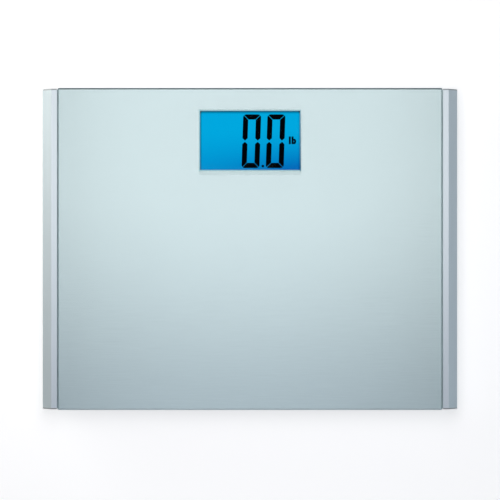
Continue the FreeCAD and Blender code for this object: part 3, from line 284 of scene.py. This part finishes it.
def windowed_sheet(name, low, high, radius, opening_low, opening_high, steps=6):
    """A flat sheet with rounded corners and a square window.  Corner c's arc has its points at
    centre + radius * (cos a, sin a), with a running over a quarter turn from 90 * c degrees; a fan
    joins each arc to its window corner, and a quad joins each side to its window side."""
    signs = np.array([(1, 1), (-1, 1), (-1, -1), (1, -1)])
    low, high = np.array(low), np.array(high)
    centres = (low + high)[:2] / 2 + signs * ((high - low)[:2] / 2 - radius)
    angle = np.radians(90 * np.arange(4)[:, None] + np.linspace(0, 90, steps))
    arcs = centres[:, None] + radius * np.stack([np.cos(angle), np.sin(angle)], 2)
    outline = np.vstack([arcs.reshape(-1, 2), np.where(signs > 0, opening_high, opening_low)])
    count, around = len(outline), 4 * steps
    points = np.vstack([np.column_stack([outline, np.full(count, level)]) for level in (low[2], high[2])])
    edge = np.arange(around)
    following = (edge + 1) % around
    inner, next_inner = around + edge // steps, around + following // steps
    rings = np.stack([edge, following, next_inner, inner], 1)
    faces = []
    for ring in (rings[inner == next_inner, :3], rings[inner != next_inner]):
        faces += (ring + count).tolist() + ring[:, ::-1].tolist()
    corner = np.arange(4)
    start, end = around + corner, around + (corner + 1) % 4
    faces += np.stack([edge, following, following + count, edge + count], 1).tolist()
    faces += np.stack([end, start, start + count, end + count], 1).tolist()
    mesh = bpy.data.meshes.new(name)
    mesh.from_pydata(points.tolist(), [], faces)
    mesh.validate()
    sheet = bpy.data.objects.new(name, mesh)
    bpy.context.scene.collection.objects.link(sheet)
    return sheet


# The sheet stops a hair below the glass, so that the two surfaces don't lie in one plane.
FILM_DROP, FILM_CORNER = 0.03 * MM, 1.1 * MM
WINDOW_HALF_X, WINDOW_NEAR, WINDOW_FAR = 48.5 * MM, 73.83 * MM, 132.03 * MM
film_low, film_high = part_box("backing_film")
film_high.z -= FILM_DROP
silver_sheet = windowed_sheet("printed_film", film_low, film_high, FILM_CORNER,
                              (-WINDOW_HALF_X, WINDOW_NEAR), (WINDOW_HALF_X, WINDOW_FAR))
silver_sheet.data.materials.append(film_material)
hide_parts("backing_film")
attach(silver_sheet, "scale_body")


# ---- side rails
# Aluminium extrusion, satin etched and clear anodised.  Faint die lines run along its length and the
# etch leaves a fine silky grain.
rail_material, tree = new_material("satin_anodised_aluminium")
point = millimetres(tree)
die_space = add(tree, "ShaderNodeMapping", {"Vector": point, "Scale": (4.0, 0.006, 4.0)})
die_lines = add(tree, "ShaderNodeTexNoise", {"Vector": die_space.outputs[0], "Scale": 1.0, "Detail": 4.0,
                                             "Roughness": 0.6})
etch = add(tree, "ShaderNodeTexNoise", {"Vector": point, "Scale": 6.0, "Detail": 3.0, "Roughness": 0.6})
height = add(tree, "ShaderNodeMath", {0: die_lines.outputs["Fac"], 1: etch.outputs["Fac"]}, operation="ADD")
tone = add(tree, "ShaderNodeMapRange", {"Value": height.outputs[0], "From Min": 0.7, "From Max": 1.3})
metal = add(tree, "ShaderNodeMix", {"Factor": tone.outputs[0], "A": rgba("CEDADE"), "B": rgba("D8E3E7")},
            data_type="RGBA")
gloss = add(tree, "ShaderNodeMapRange", {"Value": height.outputs[0], "From Min": 0.7, "From Max": 1.3,
                                         "To Min": 0.34, "To Max": 0.40})
surface = add(tree, "ShaderNodeBump", {"Height": height.outputs[0], "Strength": 0.12, "Distance": 0.02 * MM})
rail = add(tree, "ShaderNodeBsdfPrincipled", {
    "Base Color": metal.outputs["Result"], "Metallic": 0.9, "Roughness": gloss.outputs[0],
    "Normal": surface.outputs[0]})
finish(tree, rail.outputs[0])
coat(["left_rail", "right_rail"], rail_material)


# ---- moulded plastics
# ABS from a spark-eroded mould: an even matt grain of about a quarter of a millimetre, a slight
# unevenness of colour from the melt, and no directional marks.
def moulded(name, code, grain, roughness, relief=0.35):
    """A moulded plastic of one colour, with a grain in millimetres."""
    material, tree = new_material(name)
    point = millimetres(tree)
    cells = add(tree, "ShaderNodeTexNoise", {"Vector": point, "Scale": 1.0 / grain, "Detail": 2.0,
                                             "Roughness": 0.5})
    flow = add(tree, "ShaderNodeTexNoise", {"Vector": point, "Scale": 0.03, "Detail": 3.0})
    shade = add(tree, "ShaderNodeMix", {"Factor": flow.outputs["Fac"],
                                        "A": (*(linear(code) * 0.95), 1.0),
                                        "B": (*np.minimum(linear(code) * 1.05, 1.0), 1.0)}, data_type="RGBA")
    sheen = add(tree, "ShaderNodeMapRange", {"Value": cells.outputs["Fac"], "From Min": 0.3, "From Max": 0.7,
                                             "To Min": roughness - 0.06, "To Max": roughness + 0.06})
    skin = add(tree, "ShaderNodeBump", {"Height": cells.outputs["Fac"], "Strength": relief,
                                        "Distance": 0.03 * MM})
    plastic = add(tree, "ShaderNodeBsdfPrincipled", {
        "Base Color": shade.outputs["Result"], "Roughness": sheen.outputs[0], "IOR": 1.54,
        "Normal": skin.outputs[0]})
    finish(tree, plastic.outputs[0])
    return material


# Shell and door: light grey, with a grain that takes away every sharp highlight.
coat(["base_tray", "battery_door", "top_chassis"], moulded("spark_textured_abs", "C4C8CB", 0.25, 0.55))
# End caps: sprayed silver over a fine grain, a little softer in its gloss than the rails.
coat(["left_far_cap", "left_near_cap", "right_far_cap", "right_near_cap"],
     moulded("silver_painted_abs", "AFB5B7", 0.15, 0.42, 0.15))
# Feet, their pads and the sensor retainers: dark and dull, the rubber the roughest of them.
FEET = ["left_near", "right_near", "left_far", "right_far"]
coat([foot + "_foot_cup" for foot in FEET], moulded("dark_grey_abs", "3A3D40", 0.25, 0.5))
coat([foot + "_foot_pad" for foot in FEET], moulded("moulded_rubber", "1B1B1C", 0.4, 0.75, 0.5))
coat([foot + "_cell_retainer" for foot in FEET], moulded("glass_filled_nylon", "18191A", 0.3, 0.6))
# Button, switch and plugs: small mouldings, smoother than the shell.
coat(["unit_button", "switch_plunger"], moulded("charcoal_abs_button", "2B2D30", 0.2, 0.45))
coat(["unit_switch"], moulded("black_nylon", "121213", 0.2, 0.5))
coat(["sensor_plugs"], moulded("natural_nylon", "DDD9CC", 0.3, 0.4, 0.1))
# Foam tape, potting and epoxy: open-celled and dead matt, rubbery white, and glossy black.
coat(["bond_tape"], moulded("black_foam_tape", "202123", 0.5, 0.9, 0.8))
coat(["gauge_covers"], moulded("white_silicone_potting", "E2E1DA", 0.8, 0.5, 0.2))
coat(["chip_blob"], moulded("black_epoxy", "0C0C0D", 1.5, 0.25, 0.1))
coat(["pcb_components"], moulded("ceramic_chip", "33281F", 0.2, 0.4, 0.2))
# Backlight: two milky films, a clear acrylic plate and yellow phosphor diodes.
coat(["reflector_film", "diffuser_film"], moulded("white_diffuser_film", "F2F4F5", 0.1, 0.5, 0.1))
coat(["light_guide"], moulded("acrylic_light_guide", "CFE3EC", 0.6, 0.15, 0.1))
coat(["backlight_leds"], moulded("phosphor_led", "E8DC7A", 0.3, 0.35, 0.1))
# Cables: PVC drawn over the wire, smooth with a soft gloss.
coat(["negative_lead"] + [foot + "_cable" for foot in FEET],
     moulded("black_pvc_insulation", "151516", 0.3, 0.4, 0.1))
coat(["positive_lead"], moulded("red_pvc_insulation", "A01818", 0.3, 0.4, 0.1))


# ---- sheet metal, screws and springs
# Nickel or zinc plated steel: stamped plates with rolling lines, cold-headed screws, drawn wire.
def plated(name, code, spacing, roughness):
    """A plated steel with fine rolling lines at a spacing in millimetres."""
    material, tree = new_material(name)
    point = millimetres(tree)
    line_space = add(tree, "ShaderNodeMapping", {"Vector": point, "Scale": (1 / spacing, 0.05, 0.05)})
    lines = add(tree, "ShaderNodeTexNoise", {"Vector": line_space.outputs[0], "Scale": 1.0, "Detail": 3.0})
    gloss = add(tree, "ShaderNodeMapRange", {"Value": lines.outputs["Fac"], "From Min": 0.3, "From Max": 0.7,
                                             "To Min": roughness - 0.07, "To Max": roughness + 0.07})
    relief = add(tree, "ShaderNodeBump", {"Height": lines.outputs["Fac"], "Strength": 0.1,
                                          "Distance": 0.02 * MM})
    steel = add(tree, "ShaderNodeBsdfPrincipled", {
        "Base Color": rgba(code), "Metallic": 1.0, "Roughness": gloss.outputs[0],
        "Normal": relief.outputs[0]})
    finish(tree, steel.outputs[0])
    return material


coat(["base_screws", "rail_screws", "board_screws", "retainer_screws"],
     plated("zinc_plated_screw", "C2C6C8", 0.3, 0.3))
coat(["battery_springs", "battery_plates"], plated("nickel_plated_contact", "C9C6BE", 0.4, 0.25))
coat([foot + "_load_cell" for foot in FEET], plated("plated_spring_steel", "B4B6B8", 0.5, 0.35))


# ---- circuit board and contact strip
# Glass-epoxy board under green solder mask, and the striped silicone strip that feeds the display.
board_material, tree = new_material("green_solder_mask")
point = millimetres(tree)
weave = add(tree, "ShaderNodeTexBrick", {"Vector": point, "Scale": 0.35, "Color1": rgba("0E5A33"),
                                         "Color2": rgba("0B4D2B"), "Mortar": rgba("147042"),
                                         "Mortar Size": 0.03})
board = add(tree, "ShaderNodeBsdfPrincipled", {"Base Color": weave.outputs["Color"], "Roughness": 0.35})
finish(tree, board.outputs[0])
coat(["main_pcb"], board_material)

zebra_material, tree = new_material("striped_conductive_silicone")
point = millimetres(tree)
stripes = add(tree, "ShaderNodeTexWave", {"Vector": point, "Scale": 1.6}, bands_direction="X")
band = add(tree, "ShaderNodeMix", {"Factor": stripes.outputs["Fac"], "A": rgba("1A1A1A"),
                                   "B": rgba("E0D9CC")}, data_type="RGBA")
zebra = add(tree, "ShaderNodeBsdfPrincipled", {"Base Color": band.outputs["Result"], "Roughness": 0.6})
finish(tree, zebra.outputs[0])
coat(["zebra_strip"], zebra_material)


# ---- batteries
# AAA cells: a steel can in a printed shrink sleeve, dark along most of its length with a copper-
# coloured band towards the positive end, and bare steel at both ends.
def cell_material(name, low, high, positive_right):
    """A cell's sleeve, drawn by its distance along the can from the positive end."""
    material, tree = new_material(name)
    point = millimetres(tree)
    split = add(tree, "ShaderNodeSeparateXYZ", {"Vector": point})
    end, way = (high, -1.0) if positive_right else (low, 1.0)
    along = add(tree, "ShaderNodeMath", {0: split.outputs["X"], 1: way, 2: -way * end},
                operation="MULTIPLY_ADD")
    ramp = add(tree, "ShaderNodeValToRGB", {"Fac": add(tree, "ShaderNodeMath", {
        0: along.outputs[0], 1: high - low}, operation="DIVIDE").outputs[0]})
    ramp.color_ramp.interpolation = "CONSTANT"
    stops = [(0.0, "C9CCCE"), (0.035, "B9783A"), (0.3, "1A1B1E"), (0.975, "C9CCCE")]
    while len(ramp.color_ramp.elements) < len(stops):
        ramp.color_ramp.elements.new(0.5)
    for element, (position, code) in zip(ramp.color_ramp.elements, stops):
        element.position = position
        element.color = rgba(code)
    scuff = add(tree, "ShaderNodeTexNoise", {"Vector": point, "Scale": 0.8, "Detail": 4.0})
    gloss = add(tree, "ShaderNodeMapRange", {"Value": scuff.outputs["Fac"], "To Min": 0.2, "To Max": 0.4})
    sleeve = add(tree, "ShaderNodeBsdfPrincipled", {"Base Color": ramp.outputs["Color"], "Metallic": 0.6,
                                                    "Roughness": gloss.outputs[0]})
    finish(tree, sleeve.outputs[0])
    return material


for i in range(4):
    low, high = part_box("battery_%d" % (i + 1))
    coat(["battery_%d" % (i + 1)],
         cell_material("shrink_sleeved_cell_%d" % (i + 1), low.x / MM, high.x / MM, i % 2 == 0))


# ---- display frame
# White ABS rim that shows as a thin bright line round the window; the bright line is a painted glow, and
# painted shade darkens its right bar, most towards the near end.
frame_material, tree = new_material("white_abs_painted_glow")
point = millimetres(tree)
grain = add(tree, "ShaderNodeTexNoise", {"Vector": point, "Scale": 5.0, "Detail": 2.0})
skin = add(tree, "ShaderNodeBump", {"Height": grain.outputs["Fac"], "Strength": 0.1, "Distance": 0.02 * MM})
split = add(tree, "ShaderNodeSeparateXYZ", {"Vector": point})
RIGHT_BAR, RIGHT_BAR_BLEND = 47.2, 0.2
BAR_FAR, BAR_NEAR = 130.0, 75.0
SHADE_FAR, SHADE_NEAR = 0.35, 0.9
right_bar = add(tree, "ShaderNodeMapRange", {"Value": split.outputs["X"], "From Min": RIGHT_BAR,
                                             "From Max": RIGHT_BAR + RIGHT_BAR_BLEND})
lower = add(tree, "ShaderNodeMapRange", {"Value": split.outputs["Y"], "From Min": BAR_FAR,
                                         "From Max": BAR_NEAR, "To Min": SHADE_FAR, "To Max": SHADE_NEAR})
shade = add(tree, "ShaderNodeMath", {0: right_bar.outputs[0], 1: lower.outputs[0]}, operation="MULTIPLY")
# Painted shade: the rim's colour darkens along its right bar towards the near end, and the emission below is
# a painted glow.
rim_colour_with_painted_shade = add(tree, "ShaderNodeMix", {"Factor": shade.outputs[0], "A": rgba("D6F3FC"),
                                         "B": rgba("3F7FA3")}, data_type="RGBA")
rim = add(tree, "ShaderNodeBsdfPrincipled", {
    "Base Color": rim_colour_with_painted_shade.outputs["Result"], "Roughness": 0.45,
    "Emission Color": rim_colour_with_painted_shade.outputs["Result"], "Emission Strength": 0.22, "Normal": skin.outputs[0]})
finish(tree, rim.outputs[0])
coat(["lcd_frame"], frame_material)


# ---- display glass
# Positive transmissive liquid crystal panel over a blue backlight.  The glow is even over the far
# half and deepens towards the near right corner, and a painted shadow of the frame's lip darkens a thin
# border.
WINDOW_MARGIN = 4.0 * MM
panel_low, panel_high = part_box("lcd_panel")
window_left = panel_low.x + WINDOW_MARGIN
window_right = panel_high.x - WINDOW_MARGIN
window_near = panel_low.y + WINDOW_MARGIN
window_far = panel_high.y - WINDOW_MARGIN
panel_material, tree = new_material("blue_backlit_liquid_crystal")
where = add(tree, "ShaderNodeTexCoord")
split = add(tree, "ShaderNodeSeparateXYZ", {"Vector": where.outputs["Object"]})
across = add(tree, "ShaderNodeMapRange", {"Value": split.outputs["X"], "From Min": window_left,
                                          "From Max": window_right})
down = add(tree, "ShaderNodeMapRange", {"Value": split.outputs["Y"], "From Min": window_far,
                                        "From Max": window_near})
# The depth of blue is (LEFT_SHARE + RIGHT_SHARE * across ** 1.3) * lower ** 1.5, and lower is 0 over
# the EVEN_PART of the window nearest its far edge.
EVEN_PART, LEFT_SHARE, RIGHT_SHARE = 0.3, 0.5, 0.7
lower = add(tree, "ShaderNodeMapRange", {"Value": down.outputs[0], "From Min": EVEN_PART,
                                         "From Max": 1.0})
fall = add(tree, "ShaderNodeMath", {0: lower.outputs[0], 1: 1.5}, operation="POWER")
side = add(tree, "ShaderNodeMath", {0: across.outputs[0], 1: 1.3}, operation="POWER")
share = add(tree, "ShaderNodeMath", {0: side.outputs[0], 1: RIGHT_SHARE, 2: LEFT_SHARE},
            operation="MULTIPLY_ADD")
depth = add(tree, "ShaderNodeMath", {0: share.outputs[0], 1: fall.outputs[0]}, operation="MULTIPLY")
glow = add(tree, "ShaderNodeValToRGB", {"Fac": depth.outputs[0]})
glow.color_ramp.elements[0].color = rgba("00A8E2")
glow.color_ramp.elements[1].color = rgba("0069BC")
# Each side of the painted lip shadow is given as its edge, how far its shade reaches in mm, and how dark it
# is.
BACKLIGHT = 1.12
LIP = 1.1 * MM
level = BACKLIGHT
for axis, start, width, dark in (
        ("Y", window_far - LIP, -2.9, 0.85), ("X", window_left + LIP, 2.1, 0.62),
        ("X", window_right - LIP, -1.8, 0.50), ("Y", window_near + LIP, 1.2, 0.20)):
    painted_lip_shadow = add(tree, "ShaderNodeMapRange", {"Value": split.outputs[axis], "From Min": start,
                                              "From Max": start + width * MM, "To Min": dark * BACKLIGHT,
                                              "To Max": 0.0})
    level = add(tree, "ShaderNodeMath", {0: level, 1: painted_lip_shadow.outputs[0]}, operation="SUBTRACT").outputs[0]
level = add(tree, "ShaderNodeMath", {0: level, 1: 0.0}, operation="MAXIMUM").outputs[0]
panel = add(tree, "ShaderNodeBsdfPrincipled", {
    "Base Color": rgba("010A10"), "Roughness": 0.05, "Specular IOR Level": 0.2,
    "Emission Color": glow.outputs["Color"], "Emission Strength": level})
finish(tree, panel.outputs[0])
coat(["lcd_panel"], panel_material)


# ---- display segments
# The two figures, the point and the unit are dark where the liquid crystal blocks the backlight.
# Each segment is a thin flat shape on the panel, cut at 45 degrees from its neighbours.
def flat_pieces(name, outlines, low, thickness):
    """Thin plates from closed outlines: each outline is repeated at two heights, closed by a face
    above and below, with a quad between each pair of neighbouring points."""
    points, faces, start = [], [], 0
    for outline in outlines:
        count = len(outline)
        points += [np.column_stack([outline, np.full(count, level)]) for level in (low, low + thickness)]
        ring = start + np.arange(count)
        beyond = start + (np.arange(count) + 1) % count
        faces += [ring[::-1].tolist(), (ring + count).tolist()]
        faces += np.stack([ring, beyond, beyond + count, ring + count], 1).tolist()
        start += 2 * count
    mesh = bpy.data.meshes.new(name)
    mesh.from_pydata(np.vstack(points).tolist(), [], faces)
    mesh.validate()
    piece = bpy.data.objects.new(name, mesh)
    bpy.context.scene.collection.objects.link(piece)
    return piece


FIGURE_WIDTH, FIGURE_HEIGHT = 17.0, 50.9
STROKE, CORNER, MITRE_GAP = 4.9, 3.0, 0.45
TIP_GAP, TIP_HEIGHT, LEAN = 1.2, 2.2, 0.033
FIGURE_TOP = 4.37
FIGURE_LEFTS = (42.1, 65.1)


def corner_arc(first, last, steps=6):
    """Points of a corner of radius CORNER about the figure's top left, between two angles."""
    angle = np.radians(np.linspace(first, last, steps))
    centre = np.array([CORNER, FIGURE_HEIGHT - CORNER])
    return centre + CORNER * np.stack([np.cos(angle), np.sin(angle)], 1)


def zero_outlines():
    """The six lit segments of a nought, from one upright and one flat segment and their mirror images."""
    slip = np.degrees(np.arcsin(MITRE_GAP / 2 / CORNER))
    inset = MITRE_GAP / np.sqrt(2)
    middle = FIGURE_HEIGHT / 2 + TIP_GAP / 2
    upright = np.vstack([
        [(STROKE / 2, middle), (STROKE, middle + TIP_HEIGHT),
         (STROKE, FIGURE_HEIGHT - STROKE - inset)],
        corner_arc(135 + slip, 180),
        [(0.0, middle + TIP_HEIGHT)]])
    left_arc = corner_arc(90, 135 - slip)
    right_arc = (left_arc * (-1, 1) + (FIGURE_WIDTH, 0))[::-1]
    level = FIGURE_HEIGHT - STROKE
    flat = np.vstack([[(STROKE + inset, level), (FIGURE_WIDTH - STROKE - inset, level)],
                      right_arc, left_arc])
    outlines = []
    for flip_x, flip_y, shape in ((0, 0, upright), (1, 0, upright), (0, 1, upright), (1, 1, upright),
                                  (0, 0, flat), (0, 1, flat)):
        x = np.where(flip_x, FIGURE_WIDTH - shape[:, 0], shape[:, 0])
        y = np.where(flip_y, FIGURE_HEIGHT - shape[:, 1], shape[:, 1])
        outline = np.stack([x, y], 1)
        outlines.append(outline[::-1] if flip_x != flip_y else outline)
    return outlines


def on_window(outline, left, top, lean=LEAN):
    """An outline in millimetres above its own foot, leaned over and hung from the window's corner."""
    x = window_left + (left + outline[:, 0] + lean * (outline[:, 1] - FIGURE_HEIGHT)) * MM
    y = window_far - (top + FIGURE_HEIGHT - outline[:, 1]) * MM
    return np.stack([x, y], 1)


SEGMENT_THICKNESS = 0.03 * MM
figures = [on_window(outline, left, FIGURE_TOP) for left in FIGURE_LEFTS for outline in zero_outlines()]
turn = np.radians(np.arange(0, 360, 15))
POINT_PLACE, POINT_RADIUS = (60.7, 53.43), 1.2
point_outline = np.stack([window_left + (POINT_PLACE[0] + POINT_RADIUS * np.cos(turn)) * MM,
                          window_far + (-POINT_PLACE[1] + POINT_RADIUS * np.sin(turn)) * MM], 1)
segments = flat_pieces("display_figures", figures, panel_high.z, SEGMENT_THICKNESS)
decimal_point = flat_pieces("display_point", [point_outline], panel_high.z, SEGMENT_THICKNESS)

UNIT_LEFT, UNIT_TOP, UNIT_HEIGHT, UNIT_STROKE = 85.3, 25.33, 7.3, 1.9
BOWL_LEFT, BOWL_WIDTH, BOWL_HEIGHT = 3.4, 4.1, 5.2


def bar(left, low, width, height):
    """A rectangle's corners."""
    return np.array([(left, low), (left + width, low), (left + width, low + height), (left, low + height)])


half_turn = np.radians(np.linspace(-90, 90, 13))
outer_bowl = np.stack([BOWL_LEFT + (BOWL_WIDTH - 1.2) * 0.5 + BOWL_WIDTH * 0.5 * np.cos(half_turn) ** 0.7,
                       BOWL_HEIGHT / 2 * (1 + np.sin(half_turn))], 1)
inner_bowl = np.stack([BOWL_LEFT + 0.2 + (BOWL_WIDTH - 2.6) * np.cos(half_turn) ** 0.7,
                       BOWL_HEIGHT / 2 * (1 + 0.42 * np.sin(half_turn))], 1)
unit_shapes = [bar(0, 0, UNIT_STROKE, UNIT_HEIGHT), bar(2.6, 0, UNIT_STROKE, UNIT_HEIGHT)]
unit_shapes += [np.vstack([outer_bowl[i:i + 2], inner_bowl[i:i + 2][::-1]]) for i in range(12)]
unit = flat_pieces("display_unit", [
    np.stack([window_left + (UNIT_LEFT + shape[:, 0]) * MM,
              window_far - (UNIT_TOP + UNIT_HEIGHT - shape[:, 1]) * MM], 1) for shape in unit_shapes],
    panel_high.z, SEGMENT_THICKNESS)

ink_material, tree = new_material("liquid_crystal_segment")
point = millimetres(tree)
grain = add(tree, "ShaderNodeTexNoise", {"Vector": point, "Scale": 4.0, "Detail": 2.0})
dark = add(tree, "ShaderNodeMix", {"Factor": grain.outputs["Fac"], "A": rgba("02060C"), "B": rgba("050B14")},
           data_type="RGBA")
ink = add(tree, "ShaderNodeBsdfPrincipled", {"Base Color": dark.outputs["Result"], "Roughness": 0.05,
                                            "Specular IOR Level": 0.2})
finish(tree, ink.outputs[0])
for piece in (segments, decimal_point, unit):
    piece.data.materials.append(ink_material)
    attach(piece, "scale_body")
